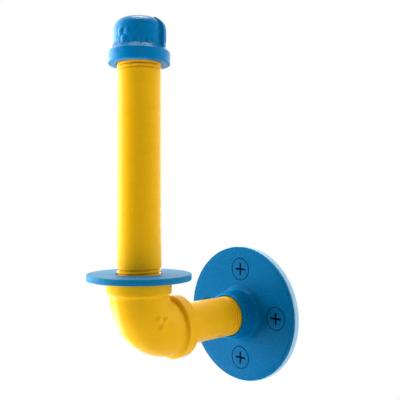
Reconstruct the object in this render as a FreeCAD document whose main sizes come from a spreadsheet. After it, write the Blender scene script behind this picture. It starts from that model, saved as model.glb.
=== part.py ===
import FreeCAD, Part
import math
import os
import Sketcher
from FreeCAD import Placement, Rotation, Vector

# A wall-mounted toilet paper holder screwed together from half-inch pipe fittings.
# Frame: the origin is the centre of the flange's wall face. The wall is the plane Y = 0, the
# holder stands out of it towards -Y, and +Z is up. Millimetres throughout.

SIZES = (
    # name, size, what it is
    ("wall_to_post", 78.0, "wall face to the axis of the upright post"),
    ("pipe_diameter", 21.34, "outside of half-inch pipe"),
    ("pipe_bore", 15.8, "inside of half-inch pipe"),
    ("pipe_chamfer", 0.8, "bevel on a pipe's cut ends"),
    ("thread_pitch", 1.814, "14 threads to the inch"),
    ("thread_cut_width", 1.5, "mouth of one thread groove"),
    ("thread_cut_depth", 1.1, "depth of one thread groove"),
    ("thread_start", 1.6, "pipe end to the middle of the first groove"),
    ("socket_clearance", 0.05, "radial room between a pipe and its socket"),
    ("socket_depth", 13.5, "length of a fitting's threaded socket"),
    ("elbow_engagement", 12.5, "how far a pipe is screwed into the elbow"),
    ("elbow_reach", 25.4, "elbow centre to either of its faces"),
    ("elbow_band_diameter", 31.4, "banded mouth of the elbow"),
    ("elbow_band_width", 6.4, "length of that band"),
    ("elbow_body_diameter", 28.4, "outside of the elbow's bend"),
    ("elbow_passage", 18.4, "inside of the elbow's bend"),
    ("elbow_root_rounding", 0.8, "fillet where a band meets the bend"),
    ("elbow_edge_rounding", 0.5, "rounding of the bands' edges"),
    ("post_length", 127.0, "five-inch pipe nipple"),
    ("post_low_cuts", 10, "thread grooves at the post's lower end"),
    ("post_high_cuts", 8, "thread grooves at the post's upper end"),
    ("nipple_length", 63.5, "two-and-a-half-inch pipe nipple"),
    ("nipple_elbow_cuts", 6, "thread grooves at the nipple's elbow end"),
    ("nipple_flange_cuts", 10, "thread grooves at the nipple's flange end"),
    ("flange_diameter", 75.8, "floor flange plate"),
    ("flange_thickness", 3.6, "floor flange plate"),
    ("flange_edge", 0.7, "rounding of the plate's front rim"),
    ("hub_height", 15.3, "wall face to the hub's mouth"),
    ("hub_base_diameter", 26.8, "hub where it leaves the plate"),
    ("hub_mouth_diameter", 25.4, "hub at its mouth"),
    ("hub_step_diameter", 29.0, "low step round the foot of the hub"),
    ("hub_step_height", 1.0, "that step above the plate"),
    ("hub_mouth_bevel", 0.65, "outer bevel of the hub's mouth, and length of its inner one"),
    ("hub_mouth_countersink", 0.325, "radial width of the inner bevel"),
    ("screw_circle", 50.0, "circle through the four screws"),
    ("countersink_diameter", 12.5, "mouth of a screw hole"),
    ("hole_overrun", 1.0, "how far the hole's cutter stands out of the plate"),
    ("screw_head_diameter", 12.2, "countersunk head"),
    ("screw_head_depth", 3.6, "countersunk head, flush with the plate"),
    ("screw_shank_diameter", 4.9, "plain shank just behind the plate"),
    ("screw_plain_length", 4.0, "plain shank behind the wall face"),
    ("screw_root_diameter", 3.6, "core of the screw thread"),
    ("screw_crest_diameter", 5.4, "outside of the screw thread"),
    ("screw_thread_pitch", 2.3, "eleven threads to the inch"),
    ("screw_thread_ridges", 3, "thread ridges on a screw"),
    ("screw_ridge_foot", 1.2, "thread ridge at its foot"),
    ("screw_ridge_crest", 0.2, "flat on the top of a thread ridge"),
    ("screw_ridge_sink", 0.1, "how far a ridge's foot lies inside the core"),
    ("screw_first_ridge", 1.38, "end of the plain shank to the first ridge"),
    ("screw_behind_wall", 15.4, "wall face to the point of a 19 mm screw"),
    ("screw_point_length", 4.0, "conical point"),
    ("cross_length", 7.4, "cross recess, end to end"),
    ("cross_width", 1.1, "cross recess, width of an arm"),
    ("cross_depth", 2.2, "cross recess"),
    ("disc_diameter", 50.4, "support disc under the roll"),
    ("disc_thickness", 3.0, "support disc"),
    ("disc_bore", 22.2, "hole of the support disc"),
    ("disc_edge", 0.4, "rounding of the disc's rim"),
    ("disc_gap", 0.1, "air between the disc and the elbow's face"),
    ("cap_engagement", 11.3, "how far the post is screwed into the cap"),
    ("cap_height", 22.9, "end cap"),
    ("cap_body_diameter", 25.0, "end cap above its band"),
    ("cap_band_diameter", 30.2, "band round the cap's mouth"),
    ("cap_band_height", 5.7, "straight part of that band"),
    ("cap_slope_height", 2.5, "slope from the band up to the body"),
    ("cap_crown_radius", 32.0, "shallow crown of the cap"),
    ("cap_shoulder_radius", 6.0, "rounding between crown and side"),
    ("cap_wall", 4.2, "cap's crown over its hollow"),
    ("cap_hollow_diameter", 19.0, "hollow above the cap's socket"),
    ("rib_reach", 14.4, "cap axis to the outside of its wrench rib"),
    ("rib_width", 2.6, "wrench rib"),
    ("rib_height", 20.9, "top of the wrench rib above the cap's open face"),
    ("rib_shoulder", 4.6, "size of the rib's bevelled outer top corner"),
    ("rib_shoulder_nose", 1.38, "how far that corner's middle point is set in from both sides"),
    ("rib_root_depth", 3.0, "how far the rib starts inside the cap's side"),
    ("rib_angle", 19.5, "rib's turn from the +X side towards +Y"),
)

SAME_PLACE = 0.01  # edges are found by size and place to within this many millimetres

doc = FreeCAD.newDocument("paper_holder")
sheet = doc.addObject("Spreadsheet::Sheet", "Sizes")
for row, (name, size, meaning) in enumerate(SIZES, start=1):
    sheet.set(f"A{row}", name)
    sheet.set(f"B{row}", str(size))
    sheet.setAlias(f"B{row}", name)
    sheet.set(f"C{row}", meaning)
doc.recompute()


def new_body(label):
    body = doc.addObject("PartDesign::Body", label)
    body.Label = label
    return body


def add_sketch(body, name, role="XZ_Plane"):
    """A sketch on one of the body's own origin planes; on XZ its right is +X and its up is +Z."""
    sketch = body.newObject("Sketcher::SketchObject", name)
    plane = next(f for f in body.Origin.OriginFeatures if f.Role == role)
    sketch.AttachmentSupport = [(plane, "")]
    sketch.MapMode = "FlatFace"
    return sketch


def pin_point(sketch, line, end, right, up):
    """Dimensions one end of a line from the sketch's origin, by two expressions."""
    if right == "0":
        sketch.addConstraint(Sketcher.Constraint("PointOnObject", line, end, -2))
    else:
        size = sketch.evalExpression(right)
        mark = sketch.addConstraint(Sketcher.Constraint("DistanceX", -1, 1, line, end, size))
        sketch.setExpression(f"Constraints[{mark}]", right)
    if up == "0":
        sketch.addConstraint(Sketcher.Constraint("PointOnObject", line, end, -1))
    else:
        size = sketch.evalExpression(up)
        mark = sketch.addConstraint(Sketcher.Constraint("DistanceY", -1, 1, line, end, size))
        sketch.setExpression(f"Constraints[{mark}]", up)


def draw_outline(sketch, corners, crown=None):
    """A closed outline; each corner is a pair of expressions, right and up.

    The sides are straight, apart from the one that starts at corner number crown: it is an arc
    that ends on the sketch's vertical axis and has its centre there.
    """
    points = [Vector(sketch.evalExpression(x), sketch.evalExpression(y), 0) for x, y in corners]
    lines = []
    for number, (start, end) in enumerate(zip(points, points[1:] + points[:1])):
        side = Part.LineSegment(start, end)
        if number == crown:
            radius = sheet.cap_crown_radius
            circle = Part.Circle(Vector(0, end.y - radius, 0), Vector(0, 0, 1), radius)
            side = Part.ArcOfCircle(circle, math.acos(start.x / radius), math.pi / 2)
        lines.append(sketch.addGeometry(side))
    if crown is not None:
        sketch.addConstraint(Sketcher.Constraint("PointOnObject", lines[crown], 3, -2))
    for line, following in zip(lines, lines[1:] + lines[:1]):
        sketch.addConstraint(Sketcher.Constraint("Coincident", line, 2, following, 1))
    for line, (right, up) in zip(lines, corners):
        pin_point(sketch, line, 1, right, up)


def draw_circle(sketch, up, diameter):
    """A circle centred on the sketch's vertical axis."""
    centre = Vector(0, sketch.evalExpression(up), 0)
    radius = sketch.evalExpression(diameter) / 2
    circle = sketch.addGeometry(Part.Circle(centre, Vector(0, 0, 1), radius))
    pin_point(sketch, circle, 3, "0", up)
    mark = sketch.addConstraint(Sketcher.Constraint("Diameter", circle, 2 * radius))
    sketch.setExpression(f"Constraints[{mark}]", diameter)


def turn(body, kind, sketch, name, axis="V_Axis", angle=360):
    """Revolves a sketch about one of its own axes: kind is Revolution or Groove."""
    feature = body.newObject(f"PartDesign::{kind}", name)
    feature.Profile = sketch
    feature.ReferenceAxis = (sketch, [axis])
    feature.Angle = angle
    sketch.Visibility = False
    doc.recompute()
    return feature


def repeat_along(body, feature, sketch, count, pitch, reverse=False):
    """Repeats a feature along its sketch's vertical axis."""
    pattern = body.newObject("PartDesign::LinearPattern", feature.Name + "_row")
    pattern.Originals = [feature]
    pattern.Direction = (sketch, ["V_Axis"])
    pattern.Reversed = reverse
    pattern.setExpression("Occurrences", count)
    pattern.setExpression("Length", f"{pitch} * ({count} - 1)")
    body.Tip = pattern
    doc.recompute()
    return pattern


def round_edges(body, name, radius, wanted):
    """Fillets the edges of the body's tip for which wanted(edge) is true."""
    base = body.Tip
    edges = [f"Edge{n}" for n, edge in enumerate(base.Shape.Edges, start=1) if wanted(edge)]
    fillet = body.newObject("PartDesign::Fillet", name)
    fillet.Base = (base, edges)
    fillet.setExpression("Radius", radius)
    doc.recompute()
    return fillet


def is_circle_at(edge, radius, *centre):
    """True for an arc or circle of that radius about that centre."""
    if edge.Degenerated or edge.Curve.TypeId != "Part::GeomCircle":
        return False
    return (abs(edge.Curve.Radius - radius) < SAME_PLACE
            and edge.Curve.Center.distanceToPoint(Vector(*centre)) < SAME_PLACE)


def aim_out_of_wall(body):
    """Turns a body so that its own +Z points out of the wall, along -Y."""
    body.Placement = Placement(Vector(0, 0, 0), Rotation(Vector(1, 0, 0), 90))


# --- pipe nipples -------------------------------------------------------------------------


def make_pipe(label, length, cuts_at_start, cuts_at_end):
    """A pipe nipple along its own +Z from 0, with thread grooves at both ends."""
    body = new_body(label)
    wall = add_sketch(body, f"{label}_wall")
    outside = "Sizes.pipe_diameter / 2"
    bore = "Sizes.pipe_bore / 2"
    bevelled = f"{outside} - Sizes.pipe_chamfer"
    draw_outline(wall, [
        (bore, "0"),
        (bevelled, "0"),
        (outside, "Sizes.pipe_chamfer"),
        (outside, f"{length} - Sizes.pipe_chamfer"),
        (bevelled, length),
        (bore, length),
    ])
    turn(body, "Revolution", wall, f"{label}_tube")

    ends = (("start", "Sizes.thread_start", cuts_at_start, False),
            ("end", f"{length} - Sizes.thread_start", cuts_at_end, True))
    for end, middle, cuts, towards_start in ends:
        notch = add_sketch(body, f"{label}_{end}_notch")
        half = "Sizes.thread_cut_width / 2"
        draw_outline(notch, [
            (f"{outside} - Sizes.thread_cut_depth", middle),
            (outside, f"{middle} - {half}"),
            (f"{outside} + {half}", f"{middle} - {half}"),
            (f"{outside} + {half}", f"{middle} + {half}"),
            (outside, f"{middle} + {half}"),
        ])
        groove = turn(body, "Groove", notch, f"{label}_{end}_thread")
        repeat_along(body, groove, notch, cuts, "Sizes.thread_pitch", towards_start)
    return body


nipple = make_pipe("arm_nipple", "Sizes.nipple_length", "Sizes.nipple_elbow_cuts",
                   "Sizes.nipple_flange_cuts")
# Its own +Z runs from the elbow to the wall.
nipple.Placement = Placement(Vector(0, 0, 0), Rotation(Vector(1, 0, 0), -90))
nipple.setExpression("Placement.Base.y",
                     "-Sizes.wall_to_post + Sizes.elbow_reach - Sizes.elbow_engagement")

post = make_pipe("post_pipe", "Sizes.post_length", "Sizes.post_low_cuts", "Sizes.post_high_cuts")
POST_FOOT = "(Sizes.elbow_reach - Sizes.elbow_engagement)"
post.setExpression("Placement.Base.y", "-Sizes.wall_to_post")
post.setExpression("Placement.Base.z", POST_FOOT)


# --- wall flange --------------------------------------------------------------------------

SCREW_ANGLES = (0, 90, 180, 270)  # round the flange, from the +X side


def make_flange():
    """The floor flange along its own +Z from the wall face: plate, step and threaded hub."""
    body = new_body("wall_flange")
    section = add_sketch(body, "flange_section")
    bore = "Sizes.pipe_diameter / 2 + Sizes.socket_clearance"
    bevel = "Sizes.hub_mouth_bevel"
    plate = "Sizes.flange_thickness"
    step = f"{plate} + Sizes.hub_step_height"
    draw_outline(section, [
        (bore, "0"),
        ("Sizes.flange_diameter / 2", "0"),
        ("Sizes.flange_diameter / 2", plate),
        ("Sizes.hub_step_diameter / 2", plate),
        ("Sizes.hub_step_diameter / 2", step),
        ("Sizes.hub_base_diameter / 2", step),
        ("Sizes.hub_mouth_diameter / 2", f"Sizes.hub_height - {bevel}"),
        (f"Sizes.hub_mouth_diameter / 2 - {bevel}", "Sizes.hub_height"),
        (f"{bore} + Sizes.hub_mouth_countersink", "Sizes.hub_height"),
        (bore, f"Sizes.hub_height - {bevel}"),
    ])
    turn(body, "Revolution", section, "flange_casting")

    hole = add_sketch(body, "screw_hole_section")
    hole.setExpression("AttachmentOffset.Base.x", "Sizes.screw_circle / 2")
    mouth = "Sizes.countersink_diameter / 2"
    draw_outline(hole, [
        ("0", "0"),
        (f"{mouth} - {plate}", "0"),
        (mouth, plate),
        (mouth, f"{plate} + Sizes.hole_overrun"),
        ("0", f"{plate} + Sizes.hole_overrun"),
    ])
    cut = turn(body, "Groove", hole, "screw_hole")
    around = body.newObject("PartDesign::PolarPattern", "screw_holes")
    around.Originals = [cut]
    around.Axis = (section, ["V_Axis"])
    around.Angle = 360
    around.Occurrences = len(SCREW_ANGLES)
    body.Tip = around
    doc.recompute()

    rim = sheet.flange_diameter / 2
    round_edges(body, "flange_rim", "Sizes.flange_edge",
                lambda edge: is_circle_at(edge, rim, 0, 0, sheet.flange_thickness))
    aim_out_of_wall(body)
    return body


flange = make_flange()


# --- wall screws --------------------------------------------------------------------------


def make_screw():
    """One countersunk wood screw along its own +Z: the wall face at 0, the head in front of it."""
    body = new_body("one_screw")
    section = add_sketch(body, "screw_section")
    head = "Sizes.screw_head_diameter / 2"
    shank = "Sizes.screw_shank_diameter / 2"
    root = "Sizes.screw_root_diameter / 2"
    draw_outline(section, [
        ("0", "Sizes.screw_head_depth"),
        (head, "Sizes.screw_head_depth"),
        (shank, "0"),
        (shank, "-Sizes.screw_plain_length"),
        (root, f"-Sizes.screw_plain_length - {shank} + {root}"),
        (root, "-Sizes.screw_behind_wall + Sizes.screw_point_length"),
        ("0", "-Sizes.screw_behind_wall"),
    ])
    turn(body, "Revolution", section, "screw_blank")

    ridge = add_sketch(body, "screw_ridge")
    sunk = f"{root} - Sizes.screw_ridge_sink"
    crest = "Sizes.screw_crest_diameter / 2"
    middle = "-Sizes.screw_plain_length - Sizes.screw_first_ridge"
    draw_outline(ridge, [
        (sunk, f"{middle} + Sizes.screw_ridge_foot / 2"),
        (crest, f"{middle} + Sizes.screw_ridge_crest / 2"),
        (crest, f"{middle} - Sizes.screw_ridge_crest / 2"),
        (sunk, f"{middle} - Sizes.screw_ridge_foot / 2"),
    ])
    thread = turn(body, "Revolution", ridge, "screw_thread")
    repeat_along(body, thread, ridge, "Sizes.screw_thread_ridges", "Sizes.screw_thread_pitch", True)

    cross = add_sketch(body, "cross_recess", "XY_Plane")
    cross.setExpression("AttachmentOffset.Base.z", "Sizes.screw_head_depth")
    reach = "Sizes.cross_length / 2"
    half = "Sizes.cross_width / 2"
    draw_outline(cross, [
        (reach, f"-{half}"), (reach, half), (half, half), (half, reach),
        (f"-{half}", reach), (f"-{half}", half), (f"-{reach}", half), (f"-{reach}", f"-{half}"),
        (f"-{half}", f"-{half}"), (f"-{half}", f"-{reach}"), (half, f"-{reach}"), (half, f"-{half}"),
    ])
    pocket = body.newObject("PartDesign::Pocket", "cross_pocket")
    pocket.Profile = cross
    pocket.setExpression("Length", "Sizes.cross_depth")
    doc.recompute()
    return body


def place_screws(screw):
    """Four copies of the screw on the flange's screw circle, as one group of separate solids."""
    copies = []
    for number, angle in enumerate(SCREW_ANGLES, start=1):
        copy = doc.addObject("App::Link", f"screw_{number}")
        copy.LinkedObject = screw
        copy.Placement = Placement(Vector(0, 0, 0), Rotation(Vector(1, 0, 0), 90))
        copy.setExpression("Placement.Base.x", f"Sizes.screw_circle / 2 * cos({angle} deg)")
        copy.setExpression("Placement.Base.z", f"Sizes.screw_circle / 2 * sin({angle} deg)")
        copies.append(copy)
    group = doc.addObject("Part::Compound", "wall_screws")
    group.Label = "wall_screws"
    group.Links = copies
    return group


screws = place_screws(make_screw())


# --- elbow --------------------------------------------------------------------------------


def make_elbow():
    """The banded 90-degree elbow about its own centre, its mouths facing +Z and +Y."""
    body = new_body("elbow")
    bend = "(Sizes.elbow_reach - Sizes.elbow_band_width)"
    mouths = (("XY_Plane", "upper", False), ("XZ_Plane", "wall", True))

    def bend_sketch(name, diameter):
        """A circle at the foot of the upper band, swung about the bend's centre."""
        sketch = add_sketch(body, name, "XY_Plane")
        sketch.setExpression("AttachmentOffset.Base.y", bend)
        sketch.setExpression("AttachmentOffset.Base.z", bend)
        draw_circle(sketch, f"-{bend}", diameter)
        return sketch

    turn(body, "Revolution", bend_sketch("bend_outside", "Sizes.elbow_body_diameter"),
         "bend", "H_Axis", 90)

    for role, mouth, flip in mouths:
        ring = add_sketch(body, f"{mouth}_band_ring", role)
        sign = "-" if flip else ""
        ring.setExpression("AttachmentOffset.Base.z", f"{sign}Sizes.elbow_reach")
        draw_circle(ring, "0", "Sizes.elbow_band_diameter")
        band = body.newObject("PartDesign::Pad", f"{mouth}_band")
        band.Profile = ring
        band.Reversed = not flip
        band.setExpression("Length", "Sizes.elbow_band_width")
        doc.recompute()

    reach = sheet.elbow_reach
    foot = sheet.elbow_reach - sheet.elbow_band_width
    outside = sheet.elbow_band_diameter / 2
    root = sheet.elbow_body_diameter / 2
    round_edges(body, "band_roots", "Sizes.elbow_root_rounding",
                lambda edge: is_circle_at(edge, root, 0, 0, foot) or is_circle_at(edge, root, 0, foot, 0))
    round_edges(body, "band_edges", "Sizes.elbow_edge_rounding",
                lambda edge: any(is_circle_at(edge, outside, 0, *place)
                                 for place in ((0, reach), (reach, 0), (0, foot), (foot, 0))))

    turn(body, "Groove", bend_sketch("bend_inside", "Sizes.elbow_passage"),
         "passage", "H_Axis", 90)
    for role, mouth, flip in mouths:
        ring = add_sketch(body, f"{mouth}_socket_ring", role)
        sign = "-" if flip else ""
        ring.setExpression("AttachmentOffset.Base.z", f"{sign}Sizes.elbow_reach")
        draw_circle(ring, "0", "Sizes.pipe_diameter + 2 * Sizes.socket_clearance")
        socket = body.newObject("PartDesign::Pocket", f"{mouth}_socket")
        socket.Profile = ring
        socket.Reversed = flip
        socket.setExpression("Length", "Sizes.socket_depth")
        doc.recompute()

    body.setExpression("Placement.Base.y", "-Sizes.wall_to_post")
    return body


elbow = make_elbow()


# --- support disc -------------------------------------------------------------------------


def make_disc():
    """The flat disc that the roll stands on, loose round the post, on its own +Z from 0."""
    body = new_body("support_disc")
    section = add_sketch(body, "disc_section")
    draw_outline(section, [
        ("Sizes.disc_bore / 2", "0"),
        ("Sizes.disc_diameter / 2", "0"),
        ("Sizes.disc_diameter / 2", "Sizes.disc_thickness"),
        ("Sizes.disc_bore / 2", "Sizes.disc_thickness"),
    ])
    turn(body, "Revolution", section, "disc_plate")
    rim = sheet.disc_diameter / 2
    top = sheet.disc_thickness
    round_edges(body, "disc_rim", "Sizes.disc_edge",
                lambda edge: is_circle_at(edge, rim, 0, 0, 0) or is_circle_at(edge, rim, 0, 0, top))
    body.setExpression("Placement.Base.y", "-Sizes.wall_to_post")
    body.setExpression("Placement.Base.z", "Sizes.elbow_reach + Sizes.disc_gap")
    return body


disc = make_disc()


# --- end cap ------------------------------------------------------------------------------


def make_cap():
    """The banded end cap on its own +Z, its open face at 0, with one wrench rib up its side."""
    body = new_body("end_cap")
    section = add_sketch(body, "cap_section")
    band = "Sizes.cap_band_diameter / 2"
    side = "Sizes.cap_body_diameter / 2"
    bore = "Sizes.pipe_diameter / 2 + Sizes.socket_clearance"
    ceiling = "Sizes.cap_height - Sizes.cap_wall"
    crown = "Sizes.cap_crown_radius"
    spring = f"Sizes.cap_height - {crown} + sqrt({crown} ^ 2 - ({side}) ^ 2)"
    draw_outline(section, [
        ("0", "0"),
        (band, "0"),
        (band, "Sizes.cap_band_height"),
        (side, "Sizes.cap_band_height + Sizes.cap_slope_height"),
        (side, spring),
        ("0", "Sizes.cap_height"),
    ], crown=4)
    turn(body, "Revolution", section, "cap_casting")
    edge_height = section.evalExpression(spring)
    round_edges(body, "cap_shoulder", "Sizes.cap_shoulder_radius",
                lambda edge: is_circle_at(edge, sheet.cap_body_diameter / 2, 0, 0, edge_height))

    rib = add_sketch(body, "rib_outline")
    rib.AttachmentOffset = Placement(Vector(0, 0, 0), Rotation(Vector(0, 1, 0), sheet.rib_angle))
    rib.setExpression("AttachmentOffset.Rotation.Angle", "Sizes.rib_angle")
    inside = "Sizes.cap_body_diameter / 2 - Sizes.rib_root_depth"
    outer = "Sizes.rib_reach"
    top = "Sizes.rib_height"
    shoulder = "Sizes.rib_shoulder"
    draw_outline(rib, [
        (inside, "Sizes.cap_band_height"),
        (outer, "Sizes.cap_band_height"),
        (outer, f"{top} - {shoulder}"),
        (f"{outer} - Sizes.rib_shoulder_nose", f"{top} - Sizes.rib_shoulder_nose"),
        (f"{outer} - {shoulder}", top),
        (inside, top),
    ])
    slab = body.newObject("PartDesign::Pad", "rib")
    slab.Profile = rib
    slab.SideType = "Symmetric"
    slab.setExpression("Length", "Sizes.rib_width")
    doc.recompute()

    hollow = add_sketch(body, "cap_hollow_section")
    inner = "Sizes.cap_hollow_diameter / 2"
    draw_outline(hollow, [
        ("0", "0"),
        (bore, "0"),
        (bore, "Sizes.socket_depth"),
        (inner, "Sizes.socket_depth"),
        (inner, ceiling),
        ("0", ceiling),
    ])
    turn(body, "Groove", hollow, "cap_hollow")
    return body


cap = make_cap()
cap.setExpression("Placement.Base.y", "-Sizes.wall_to_post")
cap.setExpression("Placement.Base.z", f"{POST_FOOT} + Sizes.post_length - Sizes.cap_engagement")


# --- check and write ----------------------------------------------------------------------

doc.recompute()
for item in doc.Objects:
    if "Invalid" in item.State or "Error" in item.State:
        raise RuntimeError(f"{item.Name} failed: {item.State}")

os.makedirs("parts", exist_ok=True)
for piece in (flange, screws, nipple, elbow, disc, post, cap):
    shape = piece.Shape
    if shape.isNull() or not shape.isValid():
        raise RuntimeError(f"{piece.Label} has no valid shape")
    shape.exportStep(f"parts/{piece.Label}.step")
    box = shape.BoundBox
    print(f"{piece.Label}: {len(shape.Solids)} solids, {shape.Volume:.0f} mm3, "
          f"x {box.XMin:.2f}..{box.XMax:.2f}, y {box.YMin:.2f}..{box.YMax:.2f}, "
          f"z {box.ZMin:.2f}..{box.ZMax:.2f}")
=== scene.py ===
import math

import bmesh
import bpy
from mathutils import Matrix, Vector


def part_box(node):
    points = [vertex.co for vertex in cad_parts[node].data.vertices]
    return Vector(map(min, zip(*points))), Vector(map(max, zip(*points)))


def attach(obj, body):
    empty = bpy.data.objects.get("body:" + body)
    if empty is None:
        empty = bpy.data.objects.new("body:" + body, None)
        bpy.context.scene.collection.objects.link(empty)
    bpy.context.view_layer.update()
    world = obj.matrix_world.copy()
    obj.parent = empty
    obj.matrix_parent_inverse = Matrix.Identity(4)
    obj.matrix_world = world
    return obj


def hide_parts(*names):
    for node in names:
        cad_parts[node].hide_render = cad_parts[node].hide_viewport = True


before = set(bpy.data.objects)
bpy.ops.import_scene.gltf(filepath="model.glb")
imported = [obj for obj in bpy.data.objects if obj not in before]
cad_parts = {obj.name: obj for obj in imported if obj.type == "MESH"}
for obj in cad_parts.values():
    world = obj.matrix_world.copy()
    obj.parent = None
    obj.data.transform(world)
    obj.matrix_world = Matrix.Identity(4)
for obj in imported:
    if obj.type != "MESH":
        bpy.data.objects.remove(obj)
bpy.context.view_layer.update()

# ---------------------------------------------------------------------------------------
# WALL FLANGE
# The floor flange that screws to the wall: a round plate that sweeps up into a threaded hub.
# It is cast iron, machined on the back and in the hub, drilled and countersunk four times,
# and powder coated blue. The thread is left bare. The plate's blue is darkened as painted
# shade and the hub's is lightened as painted light; the rim is a painted highlight and the
# screw holes are painted shade.
# ---------------------------------------------------------------------------------------

flange_low, flange_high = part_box("wall_flange")
flange_radius = flange_high.x
hub_mouth = -flange_low.y          # wall face to the hub's mouth
plate_front = 0.0036               # wall face to the plate's front
back_radius = 0.0376               # the back face, inside its small bevel
back_bevel = 0.0004
rim_rounding = 0.0007
rim_start = 0.0029                 # wall face to where that rounding starts
ring_radius = 0.0365               # a shallow ring just inside the plate's edge
foot_fillet = 0.0026               # the sweep from the plate up into the hub
foot_radius = 0.0168               # where that sweep leaves the plate
mouth_rounding = 0.0009            # the hub's mouth, outside
mouth_lip = 0.0011                 # and inside
flange_sides = 168
pipe_radius = (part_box("post_pipe")[1].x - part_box("post_pipe")[0].x) / 2
socket_radius = pipe_radius + 0.00005
socket_mouth = socket_radius + 0.0006
socket_thread_depth = 0.0007
pipe_pitch = 0.001814              # fourteen threads to the inch
fine = pipe_pitch / 10             # the spacing of rings where a thread is cut
countersink_narrow = 0.0024        # its end just behind the wall face
countersink_wide = 0.0074          # its end in front of the plate
countersink_length = 0.0050
countersink_middle = 0.0021        # wall face to halfway along it
screw_circle_radius = 0.025
screw_angles = [math.radians(turn) for turn in (0, 90, 180, 270)]
# The flange's blue is darker than the cap's as painted shade, and the hub's is lighter as painted
# light.
flange_shaded_blue = (0.000, 0.083, 0.208)
hub_lit_blue = (0.000, 0.130, 0.320)


def make_active(piece):
    """Leaves edit mode and makes the piece the only one selected, or none with None."""
    if bpy.context.object and bpy.context.object.mode != "OBJECT":
        bpy.ops.object.mode_set(mode="OBJECT")
    bpy.ops.object.select_all(action="DESELECT")
    if piece:
        piece.select_set(True)
    bpy.context.view_layer.objects.active = piece


def keep_selected(piece, wanted):
    """Deselects the vertices of the piece in edit mode for which wanted(place) is false."""
    mesh = bmesh.from_edit_mesh(piece.data)
    for vertex in mesh.verts:
        if vertex.select and not wanted(vertex.co):
            vertex.select = False
    mesh.select_flush(False)
    bmesh.update_edit_mesh(piece.data)


def ring_tube(name, rings, sides, poles=False):
    """A piece made of rings of edges, each extruded from the one before.

    A ring is (radius, centre, tilt about X in degrees). The last ring is bridged back to the
    first, or, with poles, both are closed to a point.
    """
    radius, centre, tilt = rings[0]
    make_active(None)
    bpy.ops.mesh.primitive_circle_add(vertices=sides, radius=radius, location=centre,
                                      rotation=(math.radians(tilt), 0, 0))
    piece = bpy.context.object
    piece.name = name
    bpy.ops.object.transform_apply(location=True, rotation=True, scale=True)
    bpy.ops.object.mode_set(mode="EDIT")
    bpy.ops.mesh.select_mode(type="EDGE")
    bpy.ops.mesh.select_all(action="SELECT")
    for before, after in zip(rings, rings[1:]):
        move = Vector(after[1]) - Vector(before[1])
        bpy.ops.mesh.extrude_edges_move(TRANSFORM_OT_translate={"value": move})
        if after[2] != before[2]:
            bpy.ops.transform.rotate(value=math.radians(before[2] - after[2]), orient_axis="X",
                                     center_override=after[1])
        grow = after[0] / before[0]
        bpy.ops.transform.resize(value=(grow, grow, grow), center_override=after[1])
    bpy.ops.mesh.select_all(action="DESELECT")
    bpy.ops.mesh.select_non_manifold()
    if not poles:
        bpy.ops.mesh.bridge_edge_loops()
    else:
        for end in (rings[0], rings[-1]):
            bpy.ops.mesh.select_all(action="DESELECT")
            bpy.ops.mesh.select_non_manifold()
            keep_selected(piece, lambda place: abs(place.z - end[1][2]) < 1e-6)
            bpy.ops.mesh.extrude_edges_move()
            bpy.ops.mesh.merge(type="CENTER")
    bpy.ops.mesh.select_all(action="SELECT")
    bpy.ops.mesh.normals_make_consistent(inside=False)
    bpy.ops.object.mode_set(mode="OBJECT")
    return piece


def upright(points, y=0.0):
    """The rings of a turned profile, given as (radius, height), on an upright axis."""
    return [(radius, (0, y, height), 0) for radius, height in points]


def arc(centre_radius, centre_height, bend, start, end, steps):
    """Points of a rounded corner in a turned profile; the angles are in degrees."""
    angles = [math.radians(start + (end - start) * step / steps) for step in range(steps + 1)]
    return [(centre_radius + bend * math.cos(a), centre_height + bend * math.sin(a))
            for a in angles]


def between(start, end, spacing):
    """Points between two of a profile, about one spacing apart, without the two themselves."""
    (r0, h0), (r1, h1) = start, end
    steps = max(1, round(math.hypot(r1 - r0, h1 - h0) / spacing))
    return [(r0 + (r1 - r0) * k / steps, h0 + (h1 - h0) * k / steps) for k in range(1, steps)]


def apply_modifier(piece, modifier):
    make_active(piece)
    bpy.ops.object.modifier_apply(modifier=modifier.name)


def displace_by(piece, strengths, distance, mid_level=0.0, texture=None):
    """Moves the surface along its normals: by distance times each vertex's strength, 0 to 1."""
    group = piece.vertex_groups.new(name="strength")
    for index, strength in enumerate(strengths):
        if strength > 0:
            group.add([index], min(1.0, strength), "REPLACE")
    displace = piece.modifiers.new("displace", "DISPLACE")
    displace.vertex_group = group.name
    displace.strength = distance
    displace.mid_level = mid_level
    if texture:
        displace.texture = texture
        displace.texture_coords = "LOCAL"
    apply_modifier(piece, displace)
    piece.vertex_groups.clear()


def cut_thread(piece, pitch, depth, full_at, on_axis=lambda place: place, crossing=0.0):
    """Cuts a helical V thread into a turned wall.

    full_at(radius, height) is how much of the depth is cut there, from 0 to 1. on_axis moves
    a vertex to an upright axis through the origin. The valley's middle crosses the +X side
    at the height crossing.
    """
    valley_top = 1.15                  # above 1, so the valley has a narrow floor
    valley_side = 0.28                 # of a pitch, from full depth to none
    strengths = []
    for vertex in piece.data.vertices:
        x, y, height = on_axis(vertex.co)
        turns = (height - crossing) / pitch - math.atan2(y, x) / (2 * math.pi)
        from_valley = abs((turns + 0.5) % 1 - 0.5)
        valley = min(1.0, max(0.0, valley_top - from_valley / valley_side))
        strengths.append(full_at(math.hypot(x, y), height) * valley)
    displace_by(piece, strengths, -depth)


def cut_away(piece, cutters):
    """Cuts the cutters out of the piece and deletes them."""
    for cutter in cutters:
        cut = piece.modifiers.new("cut", "BOOLEAN")
        cut.object = cutter
        cut.operation = "DIFFERENCE"
        cut.solver = "EXACT"
        apply_modifier(piece, cut)
        bpy.data.objects.remove(cutter)


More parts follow.
